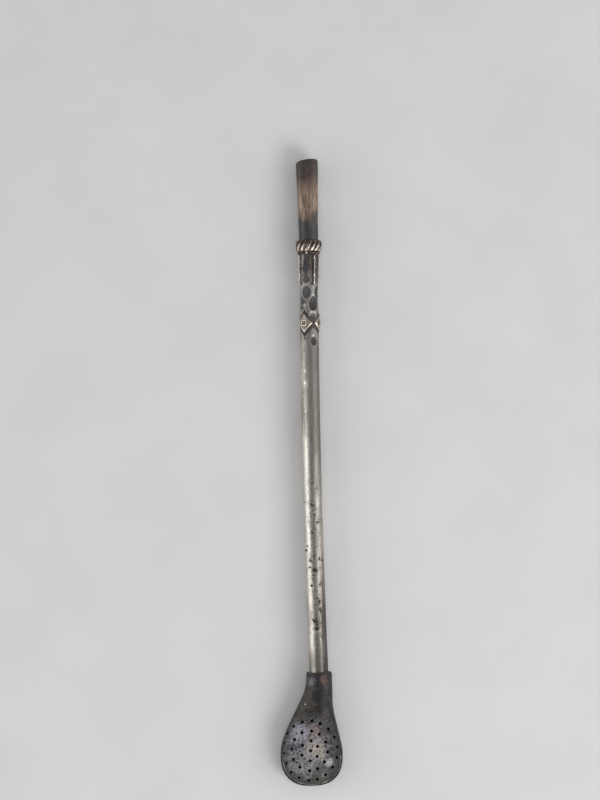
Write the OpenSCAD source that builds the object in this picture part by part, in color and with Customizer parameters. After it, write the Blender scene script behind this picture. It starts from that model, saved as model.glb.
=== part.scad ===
// Bombilla: a metal drinking straw for mate, with a strainer head.
// Each piece is drawn standing, tube axis on Z, mouth up, front towards -Y.
// lie() then lays it on its back: +Y runs to the mouth, +Z is up off the table.

/* [Stem tube] */
// Outer radius of the drawn tube
tube_r = 3.3; // [3.1:0.05:3.6]
// Radius of the bore that the drink runs through
bore_r = 2.3; // [2.0:0.05:2.35]
// Plain length between the strainer and the chased zone
stem_len = 114; // [80:1:140]
// How far the tube runs into the strainer's socket
socket_depth = 9; // [6:0.5:10]

/* [Chased zone] */
// Length of the chased zone below the collar
orn_len = 33; // [32:0.5:38]
// Turn of the leaves and ovals from the front
leaf_angle = -20; // [-60:1:60]
// Depth of the hollows hammered into the tube
chase_depth = 0.48; // [0.2:0.02:0.55]
// How much the tube swells towards the collar
shoulder_flare = 0.25; // [0:0.05:0.3]

/* [Twisted wires] */
// Turn from a leaf to the wire beside it
wire_turn = 51; // [42:1:51]
// Length of a wire, from just under the collar
wire_len = 10.6; // [9:0.2:12]
// Half of the wire's largest width
wire_r = 0.36; // [0.25:0.01:0.4]
// Length of one full twist
wire_twist = 4; // [3:0.25:6]

/* [Lozenges] */
// Turn of the first lozenge from the front
loz_angle = -30; // [-60:1:60]
// Turn from one lozenge to the next
loz_step = 110; // [110:1:120]
// Height from top corner to bottom corner
loz_h = 6.5; // [5.5:0.1:7.4]
// Thickness of the lozenge's sheet
loz_t = 0.24; // [0.2:0.02:0.45]
// Width of the border frame
frame_w = 0.42; // [0.3:0.02:0.6]
// How far the border stands up from the sheet
frame_t = 0.18; // [0.15:0.01:0.35]
// Outer side of the square collet
collet = 2; // [1.6:0.1:2.2]
// How far the collet stands up from the sheet
collet_h = 0.28; // [0.25:0.01:0.55]

/* [Collar] */
// Radius over the knop's lobes, which is also the axis height at rest
knop_r = 4.7; // [4.6:0.05:5.2]
// Height of the knop
knop_h = 3.9; // [3:0.1:5]
// Slanted lobes around the knop
knop_lobes = 14; // [10:1:18]
// Depth of the grooves between lobes
lobe_depth = 0.42; // [0.2:0.02:0.5]
// Height of the plain ring under the knop
seat_h = 1; // [0.7:0.1:1.5]
// Outer radius of the plain ring
seat_r = 4; // [3.85:0.05:4.3]

/* [Mouthpiece] */
// Length that shows above the knop
mouth_len = 29; // [20:0.5:40]
// Width at the lips
mouth_w = 7.75; // [7:0.05:8.5]
// Thickness at the lips
mouth_t = 5.8; // [5.8:0.1:6.6]
// Wall of the mouthpiece
mouth_wall = 0.5; // [0.4:0.02:0.5]
// Slant of the cut end
mouth_slant = 7; // [0:0.5:10]
// Rake of the cut end, which leaves the front lip longer
mouth_rake = 20; // [0:0.5:22]
// Length of the tube's spigot inside the mouthpiece
spigot_len = 6; // [5.2:0.1:9]

/* [Strainer head] */
// Length from the tip to the socket's mouth
head_len = 40; // [36:0.5:48]
// Largest width
head_w = 21.8; // [19:0.1:26]
// Height of the widest place above the tip
head_wide_at = 11; // [9:0.25:13]
// Sideways set of the bowl from the tube's axis
head_shift = 3.3; // [0:0.1:4]
// Rise of the pierced front above the side seam
front_rise = 4.2; // [3.6:0.1:4.6]
// Sheet thickness of the two shells
shell_t = 0.7; // [0.5:0.05:0.8]
// How far the back shell's edge stands out past the front
seam_lip = 0.5; // [0.1:0.05:0.6]
// Wall of the socket sleeve
sleeve_t = 0.45; // [0.35:0.05:0.6]
// How far the socket sleeve runs on past the tube's end
sleeve_past = 2; // [1:0.5:3]

/* [Perforations] */
// Radius of one strainer hole
hole_r = 0.55; // [0.3:0.05:0.6]
// Distance from one ring of holes to the next
hole_pitch = 3.5; // [3:0.05:3.55]
// Rings of holes around the centre hole
hole_rings = 3; // [1:1:3]
// Turn of the whole pattern on the plate
hole_turn = -5; // [-10:1:10]
// Sideways set of the pattern from the bowl's middle
hole_side = -0.3; // [-0.5:0.1:0.5]
// How far the right-hand rings wander towards the middle
hole_drift = 0.9; // [0:0.1:1.2]
// Height of the centre hole above the tip
hole_centre = 12.8; // [12.3:0.1:13.5]
// Bend radius of the sheet across the head
dome_r = 13.5; // [12.5:0.5:16]

/* [Fits] */
// Radial clearance of the push fit between tube and socket
slide_gap = 0.04; // [0.02:0.01:0.08]
// Gap filled by solder between fixed pieces
solder_gap = 0.04; // [0.02:0.01:0.08]

/* [Hidden] */
$fn = 96;
socket_r = tube_r + slide_gap;
sleeve_r = socket_r + sleeve_t;
sleeve_len = socket_depth + sleeve_past;
neck_r = sleeve_r + solder_gap * 1.5 + shell_t;
mouth_r = tube_r + 0.1;
spigot_r = mouth_r - mouth_wall - solder_gap;
plate_ri = tube_r + solder_gap / 2;
plate_ro = plate_ri + loz_t;
loz_w = plate_ri * sin(54.8);
z_neck = head_len;
z_orn = z_neck + stem_len;
z_loz = z_orn + 8.8;
z_waist = z_orn + 17;
z_top = z_orn + orn_len;
z_seat = z_top + seat_h;
z_knop = z_seat + knop_h;
z_mouth = z_knop + mouth_len;
waist_r = tube_r - 0.2;
// Four leaves around the tube, with as many wires and ovals in a row
leaf_count = 4;
leaf_step = 360 / leaf_count;
flare_r = tube_r + shoulder_flare;
wire_c = wire_r + solder_gap;
flare_z = head_len - 1;
sections = 22;

function clamp01(t) = min(1, max(0, t));
function smooth(t) = let(u = clamp01(t)) u * u * (3 - 2 * u);
function mix(a, b, t) = a + (b - a) * t;
function sgn_pow(v, p) = sign(v) * pow(abs(v), p);
// Point at radius r, turned phi from the front towards +X
function at(r, phi, z) = [r * sin(phi), -r * cos(phi), z];
// Outer radius of the chased zone
function orn_r(z) = z < z_loz + 5 ? tube_r
    : z < z_waist ? mix(tube_r, waist_r, (z - z_loz - 5) / (z_waist - z_loz - 5))
    : mix(waist_r, flare_r, (z - z_waist) / (z_top - z_waist));

// Faces of a ring of m points carried through n rows, with an outer and an inner skin
function ring_faces(n, m) = let(q = n * m) concat(
    [for (i = [0:n - 2], j = [0:m - 1], h = [0, 1]) let(k = (j + 1) % m)
        h == 0 ? [i * m + j, (i + 1) * m + j, (i + 1) * m + k] : [i * m + j, (i + 1) * m + k, i * m + k]],
    [for (i = [0:n - 2], j = [0:m - 1], h = [0, 1]) let(k = (j + 1) % m)
        h == 0 ? [q + i * m + j, q + (i + 1) * m + k, q + (i + 1) * m + j]
            : [q + i * m + j, q + i * m + k, q + (i + 1) * m + k]],
    [for (j = [0:m - 1], h = [0, 1]) let(k = (j + 1) % m)
        h == 0 ? [j, k, q + k] : [j, q + k, q + j]],
    [for (j = [0:m - 1], h = [0, 1]) let(k = (j + 1) % m, t = (n - 1) * m)
        h == 0 ? [t + j, q + t + j, q + t + k] : [t + j, q + t + k, t + k]]);

module lie() {
    translate([head_shift, -z_mouth / 2, knop_r]) rotate([-90, 0, 0]) children();
}

// A flat outline pushed out along the radius at angle phi, from d0 to d1
module radial(phi, z, d0, d1) {
    rotate([0, 0, phi]) translate([0, 0, z]) rotate([90, 0, 0])
        translate([0, 0, d0]) linear_extrude(d1 - d0) children();
}

module rhombus(w, h) {
    polygon([[0, h], [w, 0], [0, -h], [-w, 0]]);
}

// An oval hollow, left by a round-faced punch laid across the tube
module scallop(phi, z, depth, half) {
    r = (half * half + depth * depth) / (2 * depth);
    rotate([0, 0, phi]) translate([0, -(orn_r(z) - depth + r), z])
        rotate([0, 90, 0]) cylinder(r = r, h = 1.4 * tube_r, center = true);
}

// A long leaf facet that sinks from the collar down and ends in a short slope
module leaf(phi) {
    z0 = z_top - 0.6;
    z1 = z_top - 9.2;
    rotate([0, 0, phi]) rotate([90, 0, 90]) translate([0, 0, -0.7 * tube_r])
        linear_extrude(1.4 * tube_r) polygon([
            [-orn_r(z0), z0], [-orn_r(z1) + chase_depth, z1], [-orn_r(z1), z1 - 1.7],
            [-2 * tube_r, z1 - 1.7], [-2 * tube_r, z0]]);
}

// The sunk border that follows a lozenge's edge
module lozenge_groove(phi) {
    difference() {
        radial(phi, z_loz, 1.2, 6) difference() {
            rhombus(loz_w + 0.12, loz_h / 2 + 1.75);
            rhombus(loz_w + 0.03, loz_h / 2 + 0.08);
        }
        cylinder(r = tube_r - 0.16, h = z_mouth);
    }
}

// The tube as drawn, with its spigot for the mouthpiece
module tube_blank() {
    rotate_extrude() polygon([
        [bore_r, z_neck - socket_depth], [tube_r, z_neck - socket_depth],
        [tube_r, z_loz + 5], [waist_r, z_waist], [flare_r, z_top],
        [spigot_r, z_top], [spigot_r, z_top + spigot_len], [bore_r, z_top + spigot_len]]);
}

// The rows of chasing, from the collar down: leaves and ovals, then what goes with the lozenges
module chasing(row, k) {
    leaf_phi = leaf_angle + leaf_step * k;
    loz_phi = loz_angle + loz_step * k;
    if (row == 1) leaf(leaf_phi);
    if (row == 2) scallop(leaf_phi, z_top - 13.4, chase_depth, 2.3);
    if (row == 3) scallop(leaf_phi + leaf_step / 2, z_top - 17.4, chase_depth, 2.5);
    if (row == 4) scallop(loz_phi + 55, z_loz + 2.7, chase_depth * 0.6, 1.4);
    if (row == 5) lozenge_groove(loz_phi);
    if (row == 6) scallop(loz_phi + 58, z_orn + 2.4, chase_depth * 0.55, 1.6);
    if (row == 7) translate(at(tube_r + 0.28, loz_phi, z_loz - loz_h / 2 - 2)) sphere(r = 0.5);
}

// The blank after its first rows of marks, cut one row at a time
module chased(rows) {
    if (rows == 0) tube_blank();
    else difference() {
        chased(rows - 1);
        for (k = [0:rows < 4 ? leaf_count - 1 : 2]) chasing(rows, k);
    }
}

module stem_tube() {
    color([0.72, 0.70, 0.67]) chased(7);
}

// A twisted wire, laid straight down the tube between two leaves
module wire(k) {
    n = 40;
    phi = leaf_angle + wire_turn + leaf_step * k;
    z_hi = z_top - 0.4;
    pts = [for (i = [0:n], j = [0:7])
        let(t = i / n, z = z_hi - wire_len * (1 - t), turn = 360 * t * wire_len / wire_twist,
            c = at(orn_r(z) + wire_c, phi, z), a = 45 * j,
            p = wire_r * cos(a), q = 0.58 * wire_r * sin(a),
            out = p * cos(turn) - q * sin(turn), along = p * sin(turn) + q * cos(turn))
        c + out * [sin(phi), -cos(phi), 0] + along * [cos(phi), sin(phi), 0]];
    faces = concat(
        [for (i = [0:n - 1], j = [0:7], h = [0, 1]) let(m = (j + 1) % 8)
            h == 0 ? [i * 8 + j, (i + 1) * 8 + m, (i + 1) * 8 + j] : [i * 8 + j, i * 8 + m, (i + 1) * 8 + m]],
        [[for (j = [7:-1:0]) j], [for (j = [0:7]) n * 8 + j]]);
    color([0.78, 0.66, 0.44]) polyhedron(pts, faces);
}

module lozenge(k) {
    color([0.74, 0.60, 0.40]) difference() {
        intersection() {
            radial(loz_angle + loz_step * k, z_loz, 0.8, 6) rhombus(loz_w, loz_h / 2);
            translate([0, 0, z_loz - loz_h]) cylinder(r = plate_ro, h = 2 * loz_h);
        }
        translate([0, 0, z_loz - loz_h]) cylinder(r = plate_ri, h = 2 * loz_h);
    }
}

module frame(k) {
    in = frame_w * sqrt(pow(loz_h / 2, 2) + loz_w * loz_w);
    color([0.83, 0.70, 0.46]) difference() {
        intersection() {
            radial(loz_angle + loz_step * k, z_loz, 0.8, 6) difference() {
                rhombus(loz_w, loz_h / 2);
                rhombus(loz_w - in / (loz_h / 2), loz_h / 2 - in / loz_w);
            }
            translate([0, 0, z_loz - loz_h]) cylinder(r = plate_ro + frame_t, h = 2 * loz_h);
        }
        translate([0, 0, z_loz - loz_h]) cylinder(r = plate_ro, h = 2 * loz_h);
    }
}

module collet(k) {
    color([0.62, 0.50, 0.34]) difference() {
        radial(loz_angle + loz_step * k, z_loz, tube_r * 0.9, plate_ro + collet_h) difference() {
            square(collet, center = true);
            square(collet * 0.6, center = true);
        }
        translate([0, 0, z_loz - loz_h]) cylinder(r = plate_ro, h = 2 * loz_h);
    }
}

module pellets() {
    r = collet * 0.14;
    color([0.83, 0.74, 0.55]) for (k = [0:2])
        translate(at(plate_ro + r, loz_angle + loz_step * k, z_loz)) sphere(r = r);
}

module seat_ring() {
    color([0.42, 0.37, 0.32]) rotate_extrude() difference() {
        union() {
            translate([mouth_r + solder_gap, z_top]) square([seat_r - seat_h / 2 - mouth_r - solder_gap, seat_h]);
            translate([seat_r - seat_h / 2, z_top + seat_h / 2]) circle(r = seat_h / 2);
        }
        translate([0, z_top]) square([mouth_r + solder_gap, seat_h]);
    }
}

// A barrel with slanted lobes, as if a thick cord were wound into a ring
module knop() {
    n = 11;
    m = knop_lobes * 8;
    outer = [for (i = [0:n - 1], j = [0:m - 1])
        let(t = i / (n - 1), phi = 360 * j / m, bulge = pow(1 - pow(abs(2 * t - 1), 2.4), 0.6),
            crest = mix(seat_r - 0.05, knop_r, bulge),
            lobe = abs(cos(knop_lobes / 2 * (phi - 28 * (t - 0.5)))),
            r = crest - lobe_depth * (0.35 + 0.65 * bulge) * pow(1 - lobe, 1.3))
        at(r, phi, z_seat + knop_h * t)];
    inner = [for (i = [0:n - 1], j = [0:m - 1])
        at(mouth_r + 1.5 * solder_gap, 360 * j / m, z_seat + knop_h * i / (n - 1))];
    color([0.76, 0.62, 0.40]) polyhedron(concat(outer, inner), ring_faces(n, m));
}

// A round tube that flattens and widens towards the lips
module mouthpiece() {
    m = 44;
    rise = [0, seat_h + knop_h, seat_h + knop_h + mouth_len * 0.25, seat_h + knop_h + mouth_len * 0.5,
        seat_h + knop_h + mouth_len * 0.7, seat_h + knop_h + mouth_len * 0.85, z_mouth - z_top - 0.6,
        z_mouth - z_top - 0.2, z_mouth - z_top];
    ease = [0, 0, 0, 0, 0, 0, 0, 0.06, 0.22];
    n = len(rise);
    pts = [for (skin = [0, 1], i = [0:n - 1], j = [0:m - 1])
        let(z = z_top + rise[i], t = smooth((z - z_knop) / mouth_len), e = mix(1, 0.84, t),
            cut = skin * mouth_wall + (1 - skin) * ease[i], phi = 360 * j / m,
            x = (mix(mouth_r, mouth_w / 2, t) - cut) * sgn_pow(sin(phi), e),
            y = -(mix(mouth_r, mouth_t / 2, t) - cut) * sgn_pow(cos(phi), e),
            drop = ((mouth_w / 2 - x) * tan(mouth_slant) + (mouth_t / 2 + y) * tan(mouth_rake))
                * max(0, (z - z_knop) / mouth_len))
        [x, y, z - drop]];
    color([0.55, 0.45, 0.38]) polyhedron(pts, ring_faces(n, m));
}

// Blunt end of the head: how far a height is into the rounded tip, from 0 to nearly 1
function tip(z) = 0.998 * max(0, (head_wide_at - z) / head_wide_at);
function half_w(z) = z < head_wide_at ? head_w / 2 * pow(1 - pow(tip(z), 2.5), 0.4)
    : mix(neck_r, head_w / 2, smooth(pow(clamp01((flare_z - z) / (flare_z - head_wide_at)), 1.15)));
function neck_ease(z) = 0.35 * (1 - sqrt(1 - pow(clamp01((z - head_len + 1.2) / 1.2), 2)));
function bowl(z) = smooth((head_len - sleeve_len - 1 - z) / 13);
function shift_x(z) = -min(head_shift * smooth(pow(clamp01((flare_z - z) / 26), 0.8)),
    z < head_wide_at ? head_shift : half_w(z) - neck_r);
function depth(z, front) =
    mix(neck_r, front ? front_rise : knop_r + 0.25, bowl(z)) * pow(1 - pow(tip(z), 4), 0.25);
// The crest of a section: over the tube's axis at the neck, over the middle of the bowl below
function crest_x(z) = shift_x(z) * bowl(z);
// From the crest to the seam on one side, -1 left or +1 right
function side_w(z, front, side) = half_w(z) + side * (shift_x(z) - crest_x(z))
    - (front ? seam_lip * smooth((head_wide_at + 9 - z) / 8) : 0);

// One half shell of the head, from the side seam outwards
module half_shell(front) {
    s0 = pow(sin(86), 0.8);
    zs = concat(
        [for (i = [0:8]) head_wide_at * (1 - pow(sin(86 * (1 - i / 9)), 0.8) / s0)],
        [for (i = [0:14]) mix(head_wide_at, head_len - 1.2, i / 14)],
        [head_len - 0.6, head_len - 0.2, head_len]);
    n = len(zs);
    m = sections + 1;
    q = n * m;
    pts = [for (skin = [0, 1], i = [0:n - 1], j = [0:sections])
        let(z = zs[i], a = 180 * j / sections, e = mix(1, 0.88, bowl(z)),
            cut = skin == 1 ? shell_t : neck_ease(z),
            w = side_w(z, front, cos(a) > 0 ? -1 : 1) - cut, d = depth(z, front) - cut,
            y = d * pow(sin(a), e), low = front ? y : min(y, knop_r - (skin == 1 ? shell_t : 0)))
        [crest_x(z) - w * sgn_pow(cos(a), e), front ? -low : low,
            z + (skin == 1 ? shell_t * (1 - z / head_len) : 0) + (front ? seam_lip * tip(z) : 0)]];
    grid = [for (i = [0:n - 2], j = [0:sections - 1], h = [0, 1]) let(p = i * m + j)
        h == 0 ? [p, p + m, p + m + 1] : [p, p + m + 1, p + 1]];
    inner = [for (f = grid) [q + f[0], q + f[2], q + f[1]]];
    rims = [for (i = [0:n - 2], h = [0:3]) let(l = i * m, r = i * m + sections)
        h == 0 ? [q + l, q + l + m, l + m] : h == 1 ? [q + l, l + m, l]
            : h == 2 ? [r, r + m, q + r + m] : [r, q + r + m, q + r]];
    top = [for (j = [0:sections - 1], h = [0, 1]) let(t = (n - 1) * m + j)
        h == 0 ? [t, q + t, q + t + 1] : [t, q + t + 1, t + 1]];
    ends = [[for (j = [0:sections]) j], [for (j = [sections:-1:0]) q + j],
        [sections, q + sections, q], [sections, q, 0]];
    faces = concat(grid, inner, rims, top, ends);
    polyhedron(pts, front ? faces : [for (f = faces) [for (i = [len(f) - 1:-1:0]) f[i]]]);
}

// One hole, drilled square to the bent sheet; u runs across the sheet before bending
module strainer_hole(u, z) {
    drift = hole_drift * sin(180 * clamp01(u / (hole_rings * hole_pitch)));
    x = dome_r * sin(u / dome_r * 180 / PI) - drift + hole_side - head_shift - crest_x(z);
    w = side_w(z, true, sign(x));
    d = depth(z, true);
    y = d * sqrt(max(0.02, 1 - pow(x / w, 2)));
    translate([crest_x(z) + x, -y, z]) rotate([0, 0, atan2(x / (w * w), y / (d * d))])
        rotate([90, 0, 0]) translate([0, 0, -1.5]) cylinder(r = hole_r, h = 2.5);
}

module strainer_front() {
    color([0.40, 0.38, 0.38]) difference() {
        half_shell(true);
        strainer_hole(0, hole_centre);
        for (k = [1:hole_rings], j = [0:6 * k - 1]) let(a = 90 + 60 / k * j + hole_turn)
            strainer_hole(k * hole_pitch * cos(a), hole_centre + k * hole_pitch * sin(a));
    }
}

module strainer_back() {
    color([0.34, 0.33, 0.34]) half_shell(false);
}

module socket_sleeve() {
    color([0.45, 0.36, 0.30]) difference() {
        translate([0, 0, head_len - sleeve_len]) cylinder(r = sleeve_r, h = sleeve_len);
        translate([0, 0, head_len - sleeve_len - 1]) cylinder(r = socket_r, h = sleeve_len + 2);
    }
}

lie() mouthpiece();
lie() knop();
lie() seat_ring();
lie() stem_tube();
lie() wire(0);  // wire_1
lie() wire(1);  // wire_2
lie() wire(2);  // wire_3
lie() wire(3);  // wire_4
lie() lozenge(0);  // lozenge_1
lie() lozenge(1);  // lozenge_2
lie() lozenge(2);  // lozenge_3
lie() frame(0);  // frame_1
lie() frame(1);  // frame_2
lie() frame(2);  // frame_3
lie() collet(0);  // collet_1
lie() collet(1);  // collet_2
lie() collet(2);  // collet_3
lie() pellets();
lie() strainer_front();
lie() strainer_back();
lie() socket_sleeve();
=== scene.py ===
import bpy
import numpy as np
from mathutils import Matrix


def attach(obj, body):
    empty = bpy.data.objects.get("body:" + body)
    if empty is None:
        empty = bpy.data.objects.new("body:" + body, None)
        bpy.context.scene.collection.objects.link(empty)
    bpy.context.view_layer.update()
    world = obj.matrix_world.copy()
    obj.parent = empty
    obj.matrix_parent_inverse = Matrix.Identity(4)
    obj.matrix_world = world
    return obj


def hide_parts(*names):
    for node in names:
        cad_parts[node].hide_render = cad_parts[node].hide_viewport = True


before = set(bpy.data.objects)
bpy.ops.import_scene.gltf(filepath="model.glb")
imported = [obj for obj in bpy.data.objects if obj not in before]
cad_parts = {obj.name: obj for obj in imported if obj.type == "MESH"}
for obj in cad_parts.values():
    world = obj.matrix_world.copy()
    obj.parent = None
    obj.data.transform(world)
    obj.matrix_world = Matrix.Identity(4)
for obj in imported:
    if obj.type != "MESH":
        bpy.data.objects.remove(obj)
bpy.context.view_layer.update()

# The stem is a drawn nickel-silver tube, and every other piece is soldered or pushed onto it.
# Its upper end is chased from outside: leaf flats, rows of oval hollows, and a sunk line
# and a punched dot for each lozenge. Lengths are in millimetres, up the tube from the tip.
tube_r, bore_r, spigot_r = 3.3, 2.3, 2.86
foot, chase_start, shoulder, spigot_top = 31.0, 154.0, 187.0, 193.0
lozenge_at, waist_at = chase_start + 8.8, chase_start + 17.0
waist_r, flare_r = tube_r - 0.2, tube_r + 0.25
leaf_turns, half_step, wire_turn = np.radians([-20, 70, 160, 250]), np.radians(45), np.radians(51)
lozenge_turns = np.radians([-30, 80, 190])
chase_depth, sunk_line, punch_r, punch_lift = 0.48, 0.16, 0.5, 0.28
least_cosine, far_out = 0.3, 9.0
upper_ovals, lower_ovals = shoulder - 13.4, shoulder - 17.4
side_ovals, small_ovals = lozenge_at + 2.7, chase_start + 2.4
side_oval_turn, small_oval_turn = np.radians(55), np.radians(58)
lozenge_h, plate_ri, plate_ro = 6.5, 3.32, 3.56
lozenge_w = plate_ri * np.sin(np.radians(54.8))
axis_x, axis_up, half_length = 3.3, 4.7, 110.45
socket_mouth, bow_depth = 40.0, 0.76


def mix(a, b, t):
    """a where t is 0, b where t is 1, in proportion between."""
    return a + (b - a) * t


def ease(t):
    """An S-curve from 0 to 1: three t squared less two t cubed, held outside 0 to 1."""
    t = np.clip(t, 0, 1)
    return t * t * (3 - 2 * t)


def bow(z):
    """How far long use has bent the tube to the left: a parabola from the strainer to the spigot's end."""
    t = np.clip((z - socket_mouth) / (spigot_top - socket_mouth), 0, 1)
    return bow_depth * 4 * t * (1 - t)


def lay(x, y, z):
    """Lays a standing point on its back: up the tube becomes +Y and the front becomes +Z, in metres."""
    return np.stack(np.broadcast_arrays(x + axis_x - bow(z), z - half_length, axis_up - y), -1) / 1000


def turned(r, phi, z):
    """The point at radius r, turned phi from the front towards the right, z up the tube."""
    return lay(r * np.sin(phi), -r * np.cos(phi), z)


def cells(rows, cols, ring_rows, ring_cols):
    """The four-cornered faces of a grid of points; a ring joins its last row or column to its first."""
    i = np.arange(rows if ring_rows else rows - 1)[:, None]
    j = np.arange(cols if ring_cols else cols - 1)[None, :]
    below, beside = (i + 1) % rows, (j + 1) % cols
    corners = np.broadcast_arrays(i * cols + j, i * cols + beside, below * cols + beside, below * cols + j)
    return np.stack(corners, -1).reshape(-1, 4)


def make_piece(name, points, faces, **marks):
    """One smooth mesh piece from its points and faces; marks are numbers kept at each point."""
    mesh = bpy.data.meshes.new(name)
    face_rows = faces if isinstance(faces, list) else faces.tolist()
    mesh.from_pydata(points.reshape(-1, 3).tolist(), [], face_rows)
    for mark, values in marks.items():
        layer = mesh.attributes.new(mark, "FLOAT", "POINT")
        layer.data.foreach_set("value", np.ascontiguousarray(values, np.float32).ravel())
    mesh.polygons.foreach_set("use_smooth", np.ones(len(faces), bool))
    mesh.update()
    piece = bpy.data.objects.new(name, mesh)
    bpy.context.scene.collection.objects.link(piece)
    return piece


def make_hoop(name, points, **marks):
    """A piece from a grid of points that closes on itself both ways, as the skin of a ring does."""
    return make_piece(name, points, cells(*points.shape[:2], True, True), **marks)


def all_round(count):
    """Equal angles once round the tube, as one row."""
    return np.linspace(0, 2 * np.pi, count + 1)[None, :-1]


def turned_profile(z):
    """Radius of the tube before chasing: straight, drawn in a little at the waist, flared to the collar."""
    straight_top = lozenge_at + 5
    drawn_in = mix(tube_r, waist_r, (z - straight_top) / (waist_at - straight_top))
    flared = mix(waist_r, flare_r, (z - waist_at) / (shoulder - waist_at))
    return np.where(z < straight_top, tube_r, np.where(z < waist_at, drawn_in, flared))


def lower(a, b, round_over=0.035):
    """The lower of two heights with the edge between them rounded: the soft minimum by logs of sums."""
    low = np.minimum(a, b)
    return low - round_over * np.log(np.exp((low - a) / round_over) + np.exp((low - b) / round_over))


def flat_across(floor, phi):
    """Radius of a flat floor square to phi = 0: its distance from the axis over the cosine."""
    return np.where(np.cos(phi) > least_cosine, floor / np.maximum(np.cos(phi), least_cosine), far_out)


def oval_hollow(phi, z, at, depth, half):
    """Radius inside a hollow left by a cylinder laid across the tube: its axis less the root of R2 - dz2,
    where R is the punch's radius, from the hollow's depth and half length."""
    punch = (half**2 + depth**2) / (2 * depth)
    reach = np.sqrt(np.maximum(punch**2 - (z - at) ** 2, 1e-6))
    floor = turned_profile(np.array(at)) - depth + punch - reach
    return flat_across(np.where(np.abs(z - at) < punch, floor, far_out), phi)


def chased_skin(phi, z):
    """Radius of the chased tube: the turned profile lowered by each mark in turn, first at the four leaves
    and then at the three lozenges."""
    skin = turned_profile(z) + 0 * phi
    leaf_hi, leaf_lo, runout = shoulder - 0.6, shoulder - 9.2, 1.7
    hi_r, lo_r = turned_profile(np.array(leaf_hi)), turned_profile(np.array(leaf_lo))
    sinking = mix(lo_r - chase_depth, hi_r, (z - leaf_lo) / (leaf_hi - leaf_lo))
    rising = mix(lo_r, lo_r - chase_depth, (z - leaf_lo + runout) / runout)
    leaf_floor = np.where(z > leaf_hi, far_out, np.where(z > leaf_lo, sinking, rising))
    for turn in leaf_turns:
        skin = lower(skin, flat_across(leaf_floor, phi - turn))
        skin = lower(skin, oval_hollow(phi - turn, z, upper_ovals, chase_depth, 2.3))
        skin = lower(skin, oval_hollow(phi - turn - half_step, z, lower_ovals, chase_depth, 2.5))
    for turn in lozenge_turns:
        beside, below = phi - turn - side_oval_turn, phi - turn - small_oval_turn
        skin = lower(skin, oval_hollow(beside, z, side_ovals, chase_depth * 0.6, 1.4))
        skin = lower(skin, oval_hollow(below, z, small_ovals, chase_depth * 0.55, 1.6))
        across, up = np.abs(tube_r * np.sin(phi - turn)), np.abs(z - lozenge_at)
        facing = np.cos(phi - turn) > least_cosine
        outside = across / (lozenge_w + 0.03) + up / (lozenge_h / 2 + 0.08)
        inside = across / (lozenge_w + 0.12) + up / (lozenge_h / 2 + 1.75)
        skin = skin - sunk_line * facing * ease((outside - 1) / 0.05) * ease((1 - inside) / 0.09)
        off = np.hypot(across, z - (lozenge_at - lozenge_h / 2 - 2.0))
        skin = skin - facing * np.maximum(np.sqrt(np.maximum(punch_r**2 - off**2, 0)) - punch_lift, 0)
    return skin


def off_turn(phi, turn):
    """How far an angle is from a turn, the short way round: the arc cosine of the cosine."""
    return np.arccos(np.clip(np.cos(phi - turn), -1, 1))


def leaf_mark(phi, z):
    """1 inside the dark lancet of each leaf: its half angle grows down from the collar, then closes."""
    lancet_top, lancet_foot = shoulder - 0.3, shoulder - 7.9
    half = 0.05 + 0.25 * ease((shoulder - z) / 5.4)
    half = half * ease((z - lancet_foot) / 2.8) * ease((lancet_top - z) / 0.5)
    return sum(ease((half - off_turn(phi, turn)) / 0.1 + 0.5) for turn in leaf_turns)


def oval_mark(phi, z):
    """How deep a point lies inside the oval hollows: 1.2 at the middle of one, less its distance, an
    ellipse in angle and height that is 1 at the edge."""
    rows = [(leaf_turns, upper_ovals, 0.57, 2.4),
            (leaf_turns + half_step + 0.12, lower_ovals, 0.62, 2.7),
            (lozenge_turns + small_oval_turn, small_ovals, 0.4, 1.7)]
    depths = [1.2 - np.hypot(off_turn(phi, turn) / wide, (z - at) / high)
              for turns, at, wide, high in rows for turn in turns]
    return np.maximum(0, np.max(depths, 0))


def ridge_mark(r):
    """How far each point of a grid of radii stands over its neighbours, from -1 in a furrow to 1 on a
    ridge: the radius less the mean of those some cells away round and along."""
    shifts = [(0, 3), (0, -3), (0, 7), (0, -7), (3, 0), (-3, 0), (7, 0), (-7, 0)]
    around = np.mean([np.roll(r, shift, (0, 1)) for shift in shifts], 0)
    return np.clip((r - around) / 0.06, -1, 1)


def trim_dirt(phi, z):
    """Darker beside the soldered trim: 1 within twelve degrees of a wire, and in a band along each
    lozenge's edges, by the height above or below the rhombus; both eased to 0 at their far side."""
    beside = 0 * (phi + z)
    for turn in leaf_turns + wire_turn:
        near_wire = ease((0.38 - off_turn(phi, turn)) / 0.16) * ease((z - shoulder + 11.6) / 1.4)
        beside = np.maximum(beside, near_wire)
    for turn in lozenge_turns:
        off = off_turn(phi, turn)
        across = tube_r * np.sin(np.minimum(off, np.pi / 2))
        over = np.abs(z - lozenge_at) - lozenge_h / 2 * (1 - across / lozenge_w)
        beside = np.maximum(beside, ease((2.0 - over) / 0.4) * (off < np.radians(85)))
    return beside


def hand_dents(phi, z):
    """Shallow dents of long use, never above the skin: four slow waves round and along, each 1 - cosine."""
    waves = [(0.19, 1, 0.4), (0.43, -2, 1.7), (0.83, 1, 2.9), (1.31, 3, 0.8)]
    return sum(0.006 * (1 - np.cos(k * z + n * phi + s)) for k, n, s in waves)


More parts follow.
